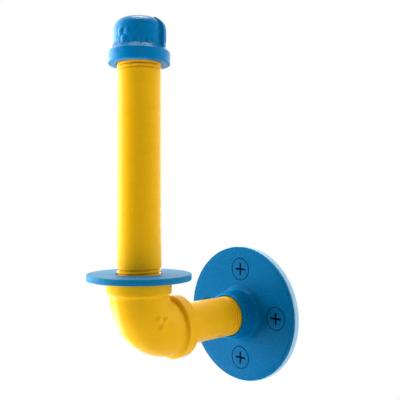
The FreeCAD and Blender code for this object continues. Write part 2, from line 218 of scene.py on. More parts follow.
def lay_along_arm(piece):
    """Turns a piece made on +Z so that it points out of the wall, along -Y."""
    make_active(piece)
    piece.rotation_euler = (math.radians(90), 0, 0)
    bpy.ops.object.transform_apply(location=True, rotation=True, scale=True)


def smooth_by_angle(piece, degrees):
    make_active(piece)
    bpy.ops.object.shade_smooth_by_angle(angle=math.radians(degrees))


back_profile = [(socket_mouth, 0.0)] + between((0.0113, 0.0), (back_radius, 0.0), spacing=0.006)
rim_profile = ([(back_radius, 0.0), (flange_radius, back_bevel)]
               + between((flange_radius, back_bevel), (flange_radius, rim_start), spacing=0.0007)
               + arc(flange_radius - rim_rounding, rim_start, rim_rounding, 0, 84, 7)
               + [(ring_radius + 0.0006, plate_front - 0.00001),
                  (ring_radius + 0.0003, plate_front - 0.00006),
                  (ring_radius, plate_front - 0.00014),
                  (ring_radius - 0.0003, plate_front - 0.00006),
                  (ring_radius - 0.0006, plate_front)])
foot_profile = (arc(foot_radius, plate_front + foot_fillet, foot_fillet, 270, 198, 9)
                + [(0.01415, plate_front + 0.0020), (0.01385, plate_front + 0.00215),
                   (0.01370, plate_front + 0.0024), (0.01358, plate_front + 0.0029)])
hub_side_end = hub_mouth - mouth_rounding
hub_profile = (between((0.0135, 0.0070), (0.0128, hub_side_end), spacing=0.001)
               + arc(0.0119, hub_side_end, mouth_rounding, 5, 90, 5)
               + arc(0.01185, hub_mouth - mouth_lip, mouth_lip, 90, 168, 4))
bore_top = (socket_radius, hub_mouth - 0.0012)
bore_end = (socket_radius, 0.0006)
flange_profile = (back_profile + rim_profile
                  + between(rim_profile[-1], foot_profile[0], spacing=0.0018)
                  + foot_profile + hub_profile
                  + [bore_top] + between(bore_top, bore_end, fine) + [bore_end])
flange = ring_tube("flange_casting", upright(flange_profile), flange_sides)
cut_thread(flange, pipe_pitch, socket_thread_depth,
           lambda radius, height: radius < socket_radius + 0.0001)
lay_along_arm(flange)

countersinks = []
for angle in screw_angles:
    make_active(None)
    bpy.ops.mesh.primitive_cone_add(
        vertices=72, radius1=countersink_narrow, radius2=countersink_wide,
        depth=countersink_length,
        location=(screw_circle_radius * math.cos(angle), -countersink_middle,
                  screw_circle_radius * math.sin(angle)),
        rotation=(math.radians(90), 0, 0))
    countersinks.append(bpy.context.object)
cut_away(flange, countersinks)
smooth_by_angle(flange, degrees=33)


def link(tree, source, target):
    tree.links.new(source, target)


def node(tree, kind, **inputs):
    """A new node; each value or socket named in inputs goes into the input of that name."""
    made = tree.nodes.new(kind)
    for name, value in inputs.items():
        socket = made.inputs[name.replace("_", " ")]
        if isinstance(value, bpy.types.NodeSocket):
            link(tree, value, socket)
        else:
            socket.default_value = value
    return made


def calculate(tree, operation, *values):
    """A Math node's result."""
    made = tree.nodes.new("ShaderNodeMath")
    made.operation = operation
    for socket, value in zip(made.inputs, values):
        if isinstance(value, bpy.types.NodeSocket):
            link(tree, value, socket)
        else:
            socket.default_value = value
    return made.outputs["Value"]


def group_tree(name, inputs, outputs):
    """A new shader node group with its input and output sockets."""
    tree = bpy.data.node_groups.new(name, "ShaderNodeTree")
    for socket_name, kind, value in inputs:
        socket = tree.interface.new_socket(socket_name, in_out="INPUT", socket_type=kind)
        socket.default_value = value
    for socket_name, kind in outputs:
        tree.interface.new_socket(socket_name, in_out="OUTPUT", socket_type=kind)
    return tree, tree.nodes.new("NodeGroupInput").outputs, tree.nodes.new("NodeGroupOutput").inputs


def make_powder_coat():
    """Powder coat: fine grains, orange peel, a film of uneven thickness, a casting's skin."""
    tree, given, result = group_tree(
        "powder_coat",
        [("Colour", "NodeSocketColor", (0.5, 0.5, 0.5, 1)),
         ("Roughness", "NodeSocketFloat", 0.4),
         ("Grain Size", "NodeSocketFloat", 0.0005),
         ("Grain Strength", "NodeSocketFloat", 1.0),
         ("Casting Skin", "NodeSocketFloat", 0.0)],
        [("Colour", "NodeSocketColor"), ("Roughness", "NodeSocketFloat"),
         ("Height", "NodeSocketFloat")])
    peel_waves, skin_waves, thinness_waves = 500.0, 330.0, 90.0    # to the metre
    mean_grain, grain_lightness = 0.50, 5.0
    grain_relief = 0.07                # of a grain's size
    peel_depth, full_skin_depth = 0.000015, 0.00030
    place = tree.nodes.new("ShaderNodeTexCoord").outputs["Object"]
    grain_scale = calculate(tree, "DIVIDE", 1.0, given["Grain Size"])
    grain = node(tree, "ShaderNodeTexNoise", Vector=place, Scale=grain_scale,
                 Detail=2.0, Roughness=0.6).outputs["Fac"]
    peel = node(tree, "ShaderNodeTexNoise", Vector=place, Scale=peel_waves,
                Detail=1.0).outputs["Fac"]
    skin = node(tree, "ShaderNodeTexNoise", Vector=place, Scale=skin_waves, Detail=3.0,
                Roughness=0.6).outputs["Fac"]
    thinness = node(tree, "ShaderNodeTexNoise", Vector=place, Scale=thinness_waves,
                    Detail=2.0).outputs["Fac"]

    # Grains that stand proud are lighter, and so is the film where it is thin.
    proud = calculate(tree, "MAXIMUM", calculate(tree, "SUBTRACT", grain, mean_grain), 0.0)
    grain_tone = calculate(tree, "MULTIPLY", proud,
                           calculate(tree, "MULTIPLY", given["Grain Strength"], grain_lightness))
    film_tone = calculate(tree, "MULTIPLY_ADD", thinness, 0.10, 0.93)
    tone = calculate(tree, "ADD", grain_tone, film_tone)
    shade = tree.nodes.new("ShaderNodeVectorMath")
    shade.operation = "SCALE"
    link(tree, given["Colour"], shade.inputs["Vector"])
    link(tree, tone, shade.inputs["Scale"])
    link(tree, shade.outputs["Vector"], result["Colour"])

    uneven = calculate(tree, "MULTIPLY_ADD", thinness, 0.16, -0.08)
    link(tree, calculate(tree, "ADD", given["Roughness"], uneven), result["Roughness"])

    grain_depth = calculate(tree, "MULTIPLY", given["Grain Size"],
                            calculate(tree, "MULTIPLY", given["Grain Strength"], grain_relief))
    height = calculate(tree, "MULTIPLY", grain, grain_depth)
    height = calculate(tree, "ADD", height, calculate(tree, "MULTIPLY", peel, peel_depth))
    skin_depth = calculate(tree, "MULTIPLY", given["Casting Skin"], full_skin_depth)
    height = calculate(tree, "ADD", height, calculate(tree, "MULTIPLY", skin, skin_depth))
    link(tree, height, result["Height"])
    return tree


def make_edge_wear():
    """Where a film is thin or rubbed: along sharp outward edges, broken up by noise."""
    tree, given, result = group_tree(
        "edge_wear",
        [("Amount", "NodeSocketFloat", 0.5), ("Patch Size", "NodeSocketFloat", 0.002)],
        [("Mask", "NodeSocketFloat")])
    place = tree.nodes.new("ShaderNodeTexCoord").outputs["Object"]
    patch_scale = calculate(tree, "DIVIDE", 1.0, given["Patch Size"])
    patches = node(tree, "ShaderNodeTexNoise", Vector=place, Scale=patch_scale,
                   Detail=3.0).outputs["Fac"]
    inside = node(tree, "ShaderNodeAmbientOcclusion", Distance=0.0006)
    inside.inside = True
    inside.only_local = True
    inside.samples = 6
    edge = node(tree, "ShaderNodeMapRange", Value=inside.outputs["AO"], From_Min=0.92,
                From_Max=0.55)
    broken = node(tree, "ShaderNodeMapRange", Value=patches, From_Min=0.40, From_Max=0.62)
    mask = calculate(tree, "MULTIPLY", edge.outputs["Result"], broken.outputs["Result"])
    link(tree, calculate(tree, "MULTIPLY", mask, given["Amount"]), result["Mask"])
    return tree


powder_coat = make_powder_coat()
edge_wear = make_edge_wear()


def use_group(tree, group, **inputs):
    """A node that uses the group, with plain values for its inputs; returns its outputs."""
    made = tree.nodes.new("ShaderNodeGroup")
    made.node_tree = group
    for name, value in inputs.items():
        made.inputs[name.replace("_", " ")].default_value = value
    return made.outputs


def mix_colour(tree, amount, first, second):
    """One colour where amount is 0 and another where it is 1."""
    made = tree.nodes.new("ShaderNodeMix")
    made.data_type = "RGBA"
    link(tree, amount, made.inputs["Factor"])
    for socket, value in ((made.inputs[6], first), (made.inputs[7], second)):
        if isinstance(value, bpy.types.NodeSocket):
            link(tree, value, socket)
        else:
            socket.default_value = (*value, 1)
    return made.outputs[2]


def bump(tree, shader, height):
    made = node(tree, "ShaderNodeBump", Strength=1.0, Distance=1.0, Height=height)
    link(tree, made.outputs["Normal"], shader.inputs["Normal"])


def new_material(name):
    material = bpy.data.materials.new(name)
    material.use_nodes = True
    tree = material.node_tree
    return material, tree, tree.nodes["Principled BSDF"]


def paint(name, colour, roughness, grain_size, grain_strength, casting_skin, wear, gloss=0.09):
    """Powder coat over iron or steel, a little lighter where it is thin at the edges."""
    material, tree, shader = new_material(name)
    coat = use_group(tree, powder_coat, Colour=(*colour, 1), Roughness=roughness,
                     Grain_Size=grain_size, Grain_Strength=grain_strength,
                     Casting_Skin=casting_skin)
    worn = use_group(tree, edge_wear, Amount=wear, Patch_Size=0.003)["Mask"]
    whiter = 0.28                      # how far a worn edge goes towards white
    thin = [(1 - whiter) * part + whiter for part in colour]
    link(tree, mix_colour(tree, worn, coat["Colour"], thin), shader.inputs["Base Color"])
    link(tree, coat["Roughness"], shader.inputs["Roughness"])
    shader.inputs["Specular IOR Level"].default_value = gloss
    yellow_sheen, blue_sheen = (1.0, 0.93, 0.65), (0.75, 1.0, 0.92)
    sheen = yellow_sheen if colour[0] > colour[2] else blue_sheen
    shader.inputs["Specular Tint"].default_value = (*sheen, 1)
    bump(tree, shader, coat["Height"])
    return material


def bare_metal(name, light, dark, roughness, patch_size):
    """Unpainted metal: blotched in colour and roughness, with fine tool marks."""
    mark_waves, mark_depth = 6000.0, 0.00002
    roughness_range = 0.3
    material, tree, shader = new_material(name)
    place = tree.nodes.new("ShaderNodeTexCoord").outputs["Object"]
    blotch = node(tree, "ShaderNodeTexNoise", Vector=place, Scale=1 / patch_size, Detail=4.0,
                  Roughness=0.65).outputs["Fac"]
    marks = node(tree, "ShaderNodeTexNoise", Vector=place, Scale=mark_waves,
                 Detail=2.0).outputs["Fac"]
    link(tree, mix_colour(tree, blotch, dark, light), shader.inputs["Base Color"])
    shader.inputs["Metallic"].default_value = 0.9
    rough = calculate(tree, "MULTIPLY_ADD", blotch, roughness_range,
                      roughness - roughness_range / 2)
    link(tree, rough, shader.inputs["Roughness"])
    bump(tree, shader, calculate(tree, "MULTIPLY", marks, mark_depth))
    return material


def finish_faces(piece, materials, choose):
    """Gives each face the material whose number choose(face centre) returns."""
    for material in materials:
        piece.data.materials.append(material)
    for face in piece.data.polygons:
        face.material_index = choose(face.center)


def fit(piece, body, slot, *nodes):
    """The piece stands for its nodes and moves with their body; slot is not used."""
    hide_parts(*nodes)
    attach(piece, body)


def make_flange_paint():
    """Powder coat, lighter on the hub as painted light and darker on the plate as painted shade.
    """
    hub_tone_end, plate_tone_start = 0.0132, 0.0158        # distances from the arm's axis
    material = paint("flange_shaded_blue", flange_shaded_blue, roughness=0.32, grain_size=0.00062,
                     grain_strength=0.80, casting_skin=0.25, wear=0.0, gloss=0.022)
    tree = material.node_tree
    position = node(tree, "ShaderNodeSeparateXYZ",
                    Vector=tree.nodes.new("ShaderNodeTexCoord").outputs["Object"]).outputs
    squares = [calculate(tree, "MULTIPLY", position[axis], position[axis])
               for axis in ("X", "Z")]
    from_arm = calculate(tree, "SQRT", calculate(tree, "ADD", *squares))
    on_plate = node(tree, "ShaderNodeMapRange", Value=from_arm, From_Min=hub_tone_end,
                    From_Max=plate_tone_start)
    on_plate.interpolation_type = "SMOOTHSTEP"
    tone = mix_colour(tree, on_plate.outputs["Result"], hub_lit_blue, flange_shaded_blue)
    coat = next(item for item in tree.nodes
                if item.type == "GROUP" and item.node_tree == powder_coat)
    link(tree, tone, coat.inputs["Colour"])
    return material


flange_paint = make_flange_paint()
# The plate's rim is a light blue that is a painted highlight.
rim_highlight_paint = paint("rim_painted_highlight", (0.33, 0.58, 0.78), roughness=0.30, grain_size=0.00060,
                  grain_strength=0.25, casting_skin=0.0, wear=0.0)
bare_iron = bare_metal("bare_iron", light=(0.16, 0.15, 0.14), dark=(0.05, 0.045, 0.04),
                       roughness=0.5, patch_size=0.003)
# The countersinks are a near-black blue: painted shade in the gap round each screw head.
countersink_painted_shade = bare_metal("countersink_painted_shade", light=(0.006, 0.020, 0.040),
                               dark=(0.002, 0.008, 0.016), roughness=0.7, patch_size=0.001)
bare_radius = socket_radius + 0.00072
bare_end = hub_mouth - 0.0010
hole_edge = 0.0062
rim_width = 0.00030


def flange_finish(place):
    """Bare iron in the thread, painted shade in the screw holes, a painted highlight on the
    plate's rim.
    """
    from_arm = math.hypot(place.x, place.z)
    if from_arm < bare_radius:
        return int(-place.y < bare_end)
    from_screw = min(math.hypot(place.x - screw_circle_radius * math.cos(angle),
                                place.z - screw_circle_radius * math.sin(angle))
                     for angle in screw_angles)
    if from_screw < hole_edge and -plate_front + 0.0001 < place.y < -0.0001:
        return 2
    return 3 if from_arm > flange_radius - rim_width else 0


finish_faces(flange, [flange_paint, bare_iron, countersink_painted_shade, rim_highlight_paint], flange_finish)
fit(flange, "holder", "flange_paint", "wall_flange")

# ---------------------------------------------------------------------------------------
# WALL SCREWS
# Four countersunk wood screws with cross recesses hold the flange to the wall. They are
# cold-headed steel with rolled threads, zinc plated; the heads are painted with the flange,
# but the paint does not reach down into the recess, which is also darkened as painted shade.
# ---------------------------------------------------------------------------------------

head_radius = 0.00598
head_edge = 0.0002
head_side = 0.0033                 # wall face to the head's widest part
shank_radius = 0.00245
screw_tip = -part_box("wall_screws")[1].y
screw_pitch = 0.0023
screw_crest = 0.0027
screw_root = 0.0018
point_length = 0.0040
screw_point = screw_tip + point_length
tip_radius = 0.0003
thread_fade = 0.0012               # along which the thread reaches its full depth
screw_sides = 48
recess_reach = 0.0037
recess_width = 0.0011
recess_depth = 0.0022
recess_taper = 0.45                # its floor against its mouth
recess_overrun = 0.0002            # how far its cutter starts above the head

shank_start = (shank_radius, -0.00005)
shank_end = (shank_radius, -0.0040)
thread_start = (screw_crest, -0.0044)
thread_end = (screw_crest, screw_point)
screw_profile = ([(0.0020, plate_front), (0.0055, plate_front)]
                 + arc(head_radius - head_edge, plate_front - head_edge, head_edge, 80, -20, 4)
                 + between((head_radius, head_side), shank_start, spacing=0.0009)
                 + [shank_start] + between(shank_start, shank_end, spacing=0.001)
                 + [shank_end, thread_start]
                 + between(thread_start, thread_end, screw_pitch / 8) + [thread_end]
                 + between(thread_end, (tip_radius, screw_tip), screw_pitch / 8)
                 + [(tip_radius, screw_tip)])


def screw_thread(radius, height):
    """Full between the plain shank and the point, then shallower towards the tip."""
    begun = thread_start[1] + 0.0002 - height
    if begun < 0:
        return 0.0
    return min(1.0, begun / thread_fade) * min(1.0, max(0.0, height - screw_tip) / point_length)


screw = ring_tube("screw", upright(screw_profile), screw_sides, poles=True)
cut_thread(screw, screw_pitch, screw_crest - screw_root, screw_thread)

make_active(None)
bpy.ops.mesh.primitive_plane_add(size=recess_width,
                                 location=(0, 0, plate_front + recess_overrun))
cross = bpy.context.object
bpy.ops.object.transform_apply(location=True, rotation=True, scale=True)
bpy.ops.object.mode_set(mode="EDIT")
arm_length = recess_reach - recess_width / 2
side_at = recess_width / 2 - 1e-5
for x, y in ((1, 0), (-1, 0), (0, 1), (0, -1)):
    bpy.ops.mesh.select_mode(type="VERT")
    bpy.ops.mesh.select_all(action="SELECT")
    keep_selected(cross, lambda place: place.x * x + place.y * y > side_at
                  and abs(place.x * y + place.y * x) < recess_width)
    bpy.ops.mesh.select_mode(type="EDGE")
    bpy.ops.mesh.extrude_edges_move(
        TRANSFORM_OT_translate={"value": (x * arm_length, y * arm_length, 0)})
bpy.ops.mesh.select_all(action="SELECT")
bpy.ops.mesh.select_mode(type="FACE")
bpy.ops.mesh.extrude_region_move(
    TRANSFORM_OT_translate={"value": (0, 0, -recess_depth - recess_overrun)})
bpy.ops.transform.resize(value=(recess_taper, recess_taper, 1))
bpy.ops.mesh.select_all(action="SELECT")
bpy.ops.mesh.normals_make_consistent(inside=False)
bpy.ops.object.mode_set(mode="OBJECT")
cut_away(screw, [cross])
smooth_by_angle(screw, degrees=35)
lay_along_arm(screw)

# The heads take the flange's darker blue, which is painted shade.
screw_paint = paint("screw_blue", flange_shaded_blue, roughness=0.30, grain_size=0.00060,
                    grain_strength=0.5, casting_skin=0.0, wear=0.0, gloss=0.025)
# Down in the cross recess: bare dark steel, made darker and bluer as painted shade.
recess_dark_steel_and_shade = bare_metal("recess_dark_steel_and_shade", light=(0.010, 0.030, 0.050),
                          dark=(0.004, 0.012, 0.02), roughness=0.6, patch_size=0.001)
zinc = bare_metal("zinc_plate", light=(0.40, 0.40, 0.37), dark=(0.26, 0.27, 0.26),
                  roughness=0.42, patch_size=0.002)
plated_from = -0.0006
painted_lip = 0.0003               # how far the paint reaches down into the recess
head_taper = 0.9                   # how fast the head narrows with depth
head_skin = 0.0004                 # kept clear inside the head's cone


def screw_finish(place):
    """Zinc on the shank, bare steel with painted shade down in the recess, painted on the head."""
    if place.y > plated_from:
        return 2
    from_axis = math.hypot(place.x, place.z)
    depth = place.y + plate_front
    in_recess = depth > painted_lip and from_axis < recess_reach
    return int(in_recess and from_axis < head_radius - head_taper * depth - head_skin)


finish_faces(screw, [screw_paint, recess_dark_steel_and_shade, zinc], screw_finish)
screws = [screw]
for number in range(2, len(screw_angles) + 1):
    make_active(screw)
    bpy.ops.object.duplicate()
    screws.append(bpy.context.object)
for number, (piece, angle) in enumerate(zip(screws, screw_angles), start=1):
    piece.name = f"wall_screw_{number}"
    make_active(piece)
    piece.location = (screw_circle_radius * math.cos(angle), 0,
                      screw_circle_radius * math.sin(angle))
    bpy.ops.object.transform_apply(location=True, rotation=True, scale=True)
    fit(piece, "holder", "screw_paint", "wall_screws")

# ---------------------------------------------------------------------------------------
# ARM NIPPLE
# A short pipe nipple screwed into the flange's hub; it carries the elbow. It is steel pipe,
# cut, chamfered and threaded at both ends, and powder coated yellow.
# ---------------------------------------------------------------------------------------

yellow = (0.840, 0.446, 0.005)
pipe_bore = 0.0079
pipe_chamfer = 0.0008
bore_bevel = 0.0003
bore_bevel_length = 0.0004
pipe_thread_depth = 0.0011
pipe_sides = 144
bare_bore = pipe_bore + 0.0002


def pipe(name, low, high, low_thread, high_thread, crossings, y=0.0):
    """A pipe nipple on +Z, threaded from each end as far as the two heights given.

    crossings are the heights at which the two threads' valleys cross the +X side.
    """
    outer = [(pipe_radius - pipe_chamfer, low), (pipe_radius, low + pipe_chamfer)]
    outer += between(outer[-1], (pipe_radius, low_thread), fine)
    outer += between((pipe_radius, low_thread), (pipe_radius, high_thread), spacing=0.0012)
    outer += between((pipe_radius, high_thread), (pipe_radius, high - pipe_chamfer), fine)
    outer += [(pipe_radius, high - pipe_chamfer), (pipe_radius - pipe_chamfer, high)]
    bore = [(pipe_bore + bore_bevel, high), (pipe_bore, high - bore_bevel_length)]
    bore += between(bore[-1], (pipe_bore, low + bore_bevel_length), spacing=0.004)
    bore += [(pipe_bore, low + bore_bevel_length), (pipe_bore + bore_bevel, low)]
    piece = ring_tube(name, upright(outer + bore), pipe_sides)

    def fading_in(radius, begun):
        """The depth outside the bore where the thread began that far back."""
        if radius <= pipe_bore + 0.0005:
            return 0.0
        return min(1.0, max(0.0, begun / (0.8 * pipe_pitch)))

    cut_thread(piece, pipe_pitch, pipe_thread_depth,
               lambda radius, height: fading_in(radius, low_thread - height),
               crossing=crossings[0])
    cut_thread(piece, pipe_pitch, pipe_thread_depth,
               lambda radius, height: fading_in(radius, height - high_thread),
               crossing=crossings[1])
    smooth_by_angle(piece, degrees=50)
    piece.location = (0, y, 0)
    make_active(piece)
    bpy.ops.object.transform_apply(location=True, rotation=True, scale=True)
    return piece


nipple_low, nipple_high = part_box("arm_nipple")
nipple = pipe("arm_pipe", -nipple_high.y, -nipple_low.y, low_thread=0.0203,
              high_thread=0.0536, crossings=(0.0032, 0.0544))
lay_along_arm(nipple)
pipe_paint = paint("pipe_yellow", yellow, roughness=0.28, grain_size=0.00045,
                   grain_strength=0.16, casting_skin=0.0, wear=0.3)
finish_faces(nipple, [pipe_paint, bare_iron],
             lambda place: int(math.hypot(place.x, place.z) < bare_bore))
fit(nipple, "holder", "pipe_paint", "arm_nipple")

# ---------------------------------------------------------------------------------------
# ELBOW
# A banded 90-degree elbow that turns from the arm to the upright post. It is cast malleable
# iron with a raised band round each mouth and three plain pips as its casting mark; both
# mouths are threaded, and the outside is powder coated yellow.
# ---------------------------------------------------------------------------------------

post_y = (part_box("post_pipe")[0].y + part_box("post_pipe")[1].y) / 2
elbow_reach = 0.0254               # crossing of the two axes to each mouth
body_radius = 0.0142
bend_radius = 0.0190
passage_radius = 0.0092
socket_depth = 0.0135
elbow_passage_bend = elbow_reach - socket_depth
post_band, arm_band = 0.0157, 0.0159
band_edge = 0.0006
band_end = 0.0058                  # mouth to where the band's shoulder rounds off
elbow_sides = 160
pip_radius, pip_height = 0.0018, 0.0009
pip_fullness = 1.6                 # how broad a pip's flat top is


def band(radius):
    """A mouth and its band, as (radius, distance in from the mouth)."""
    return ([(socket_mouth, 0.0)]
            + arc(radius - band_edge, band_edge, band_edge, 270, 360, 5)
            + between((radius, band_edge), (radius, band_end), spacing=0.0010)
            + arc(radius - band_edge, band_end, band_edge, 0, 80, 5))


def bent(radius, angle, bend, middle):
    """A ring part of the way round the bend: 0 degrees looks down, 90 into the arm."""
    turned = math.radians(angle)
    return (radius, (0, middle.y - bend * math.cos(turned), middle.z - bend * math.sin(turned)),
            angle)


outer_middle = Vector((0, post_y + bend_radius, bend_radius))
inner_middle = Vector((0, post_y + elbow_passage_bend, elbow_passage_bend))
# The fillet where the body meets a band, as (radius, degrees round the bend).
root = [(body_radius + 0.00062, 0.5), (body_radius + 0.00030, 1.0), (body_radius + 0.00011, 1.7),
        (body_radius + 0.00003, 2.6)]
elbow_rings = [(radius, (0, post_y, elbow_reach - depth), 0) for radius, depth in band(post_band)]
elbow_rings += [bent(radius, angle, bend_radius, outer_middle) for radius, angle in root]
elbow_rings += [bent(body_radius, 4 + 2 * step, bend_radius, outer_middle) for step in range(42)]
elbow_rings += [bent(radius, 90 - angle, bend_radius, outer_middle)
                for radius, angle in reversed(root)]
elbow_rings += [(radius, (0, post_y + elbow_reach - depth, 0), 90)
                for radius, depth in reversed(band(arm_band))]
socket_wall = [(socket_radius, depth)
               for depth in [0.0007 + fine * 1.6 * step for step in range(35)] + [socket_depth]]
elbow_rings += [(radius, (0, post_y + elbow_reach - depth, 0), 90)
                for radius, depth in socket_wall]
elbow_rings += [bent(passage_radius, 90 - 7.5 * step, elbow_passage_bend, inner_middle)
                for step in range(13)]
elbow_rings += [(radius, (0, post_y, elbow_reach - depth), 0)
                for radius, depth in reversed(socket_wall)]
elbow = ring_tube("elbow_casting", elbow_rings, elbow_sides)


def in_socket(radius, height):
    return (abs(radius - socket_radius) < 0.0001
            and elbow_reach - socket_depth + 0.0003 < height)


cut_thread(elbow, pipe_pitch, socket_thread_depth, in_socket,
           on_axis=lambda place: (place.x, place.y - post_y, place.z))
cut_thread(elbow, pipe_pitch, socket_thread_depth, in_socket,
           on_axis=lambda place: (place.x, place.z, place.y - post_y))


def pips(piece, middles, radius):
    """Strengths for round raised pips on the surface."""
    strengths = []
    for vertex in piece.data.vertices:
        away = min((vertex.co - Vector(middle)).length for middle in middles)
        strengths.append(max(0.0, min(1.0, pip_fullness * (1 - away / radius))))
    return strengths


elbow_mark = [(0.0139, -0.0777, 0.0079), (0.0142, -0.0735, 0.0074), (0.0137, -0.0755, 0.0036)]
displace_by(elbow, pips(elbow, elbow_mark, pip_radius), pip_height)
smooth_by_angle(elbow, degrees=40)
elbow_paint = paint("elbow_yellow", yellow, roughness=0.28, grain_size=0.00045,
                    grain_strength=0.16, casting_skin=0.22, wear=0.3)
inside_margin = 0.0008             # how far off a bare wall a face still counts as bare
painted_mouth = 0.0005             # how far in from a mouth the paint reaches


def elbow_finish(place):
    """Bare in the sockets and the passage, painted everywhere else."""
    if place.y < inner_middle.y and place.z < inner_middle.z:
        round_corner = math.hypot(place.y - inner_middle.y, place.z - inner_middle.z)
        from_axis = math.hypot(place.x, round_corner - elbow_passage_bend)
        return int(from_axis < passage_radius + inside_margin)
    if place.z > inner_middle.z:
        from_axis, out = math.hypot(place.x, place.y - post_y), place.z
    else:
        from_axis, out = math.hypot(place.x, place.z), place.y - post_y
    return int(out < elbow_reach - painted_mouth and from_axis < socket_radius + inside_margin)


finish_faces(elbow, [elbow_paint, bare_iron], elbow_finish)
fit(elbow, "holder", "elbow_paint", "elbow")

# ---------------------------------------------------------------------------------------
# SUPPORT DISC
# The round plate that the roll stands on, loose round the post and lying on the elbow. It
# is cut from steel plate, its edges broken, and powder coated blue.
# ---------------------------------------------------------------------------------------

disc_low, disc_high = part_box("support_disc")
disc_radius = disc_high.x
disc_bore = 0.0111                 # radius of its hole
edge = 0.0004
disc_sides = 168


def rounded_corner(radius, height, start):
    """A broken edge of the disc whose curve begins at the angle start."""
    return arc(radius, height, edge, start, start + 90, 4)


low_middle, high_middle = disc_low.z + edge, disc_high.z - edge
disc_profile = (rounded_corner(disc_radius - edge, low_middle, 270)
                + between((disc_radius, low_middle), (disc_radius, high_middle), spacing=0.0007)
                + rounded_corner(disc_radius - edge, high_middle, 0)
                + between((disc_radius - edge, disc_high.z), (disc_bore + edge, disc_high.z),
                          spacing=0.0015)
                + rounded_corner(disc_bore + edge, high_middle, 90)
                + between((disc_bore, high_middle), (disc_bore, low_middle), spacing=0.0007)
                + rounded_corner(disc_bore + edge, low_middle, 180)
                + between((disc_bore + edge, disc_low.z), (disc_radius - edge, disc_low.z),
                          spacing=0.0015))
disc = ring_tube("disc_plate", upright(disc_profile, y=post_y), disc_sides)
smooth_by_angle(disc, degrees=35)
# The disc's blue is darker than the cap's, as painted shade against the strong light on its top.
disc_paint = paint("disc_blue", (0.000, 0.165, 0.350), roughness=0.55, grain_size=0.00050,
                   grain_strength=0.50, casting_skin=0.0, wear=0.3, gloss=0.15)
finish_faces(disc, [disc_paint], lambda place: 0)
fit(disc, "disc", "disc_paint", "support_disc")

# ---------------------------------------------------------------------------------------
# POST
# The upright nipple that goes through the roll. It is the same pipe as the arm, threaded
# into the elbow below and into the cap above; some turns of each thread stay in sight.
# ---------------------------------------------------------------------------------------

post_low, post_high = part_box("post_pipe")
post = pipe("post_tube", post_low.z, post_high.z, low_thread=0.0319, high_thread=0.1250,
            crossings=(0.0308, 0.1262), y=post_y)
finish_faces(post, [pipe_paint, bare_iron],
             lambda place: int(math.hypot(place.x, place.y - post_y) < bare_bore))
fit(post, "holder", "pipe_paint", "post_pipe")

# ---------------------------------------------------------------------------------------
# END CAP
# The domed cap screwed on the post's top. It is cast malleable iron with a band round its
# mouth, one rib for a wrench and three plain pips; threaded inside, powder coated blue.
# ---------------------------------------------------------------------------------------

cap_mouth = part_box("end_cap")[0].z
cap_blue = (0.000, 0.185, 0.450)
cap_band = 0.0151
cap_body = 0.0125
dome_start = 0.0160                # mouth to where the side turns over into the dome
dome_bend = 0.0060
rib_turn = math.radians(19.5)
rib_start = 0.0076
rib_foot_height, rib_foot = 0.0085, 0.0014
rib_side, rib_loss = 0.0020, 0.0015       # standing out, and how much less over the dome
rib_end = math.radians(50)
cap_sides = 60
cap_socket = 0.0113
cap_pip_radius, cap_pip_height = 0.0019, 0.0006
fillet_height, fillet_reach = 0.0086, 0.0016
wave_height, wave_size = 0.0014, 0.0012

cap_inside = [(0.0020, 0.0187), (0.0060, 0.0187), (0.0085, 0.0182), (0.0095, 0.0168),
              (0.0095, 0.0130), (0.0096, 0.0118), (0.0104, 0.01145), (socket_radius, 0.0111)]
cap_inside += between(cap_inside[-1], (socket_radius, 0.0010), spacing=0.0012)
cap_inside += [(socket_radius, 0.0010), (socket_radius + 0.0003, 0.0002), (0.0114, 0.0)]
cap_outside = [(0.0132, 0.0), (0.0144, 0.0), (0.01495, 0.00015), (cap_band, 0.0007),
               (cap_band, 0.0022), (cap_band, 0.0042), (cap_band, 0.0054), (0.01505, 0.00572),
               (0.0148, 0.00595), (0.0142, 0.0065), (0.0137, 0.0070), (0.0131, 0.0077),
               (0.0127, 0.0083), (cap_body, 0.0094), (cap_body, 0.0125), (cap_body, 0.0150)]
cap_outside += arc(0.0065, dome_start, dome_bend, 8, 72, 6)
cap_outside += [(0.0062, 0.02230), (0.0040, 0.02265), (0.0018, 0.02285)]
cap_rings = upright([(radius, cap_mouth + height)
                     for radius, height in cap_inside + cap_outside])
cap = ring_tube("cap_casting", cap_rings, cap_sides, poles=True)

make_active(cap)
bpy.ops.object.mode_set(mode="EDIT")
bpy.ops.mesh.select_mode(type="VERT")
bpy.ops.mesh.select_all(action="SELECT")
column = 2 * math.pi / cap_sides
rib_middle = round(rib_turn / column) * column


def on_rib(place):
    """Outside the cap, within one column of the rib's middle, from the band to the dome."""
    radius = math.hypot(place.x, place.y)
    height = place.z - cap_mouth
    off = abs(math.atan2(place.y, place.x) - rib_middle)
    return (off < column * 1.1 and height > rib_start and radius > 0.0078
            and (radius > 0.0112 or height > 0.0192))


def rib_step(height):
    """How far the rib stands out of the cap at a height above the mouth, and which way."""
    over = math.asin(min(1.0, max(0.0, height - dome_start) / dome_bend))
    away = Vector((math.cos(rib_middle), math.sin(rib_middle), 0)) * math.cos(over)
    away.z = math.sin(over)
    if height < rib_foot_height:
        return away * rib_foot
    return away * (rib_side - rib_loss * min(1.0, over / rib_end))


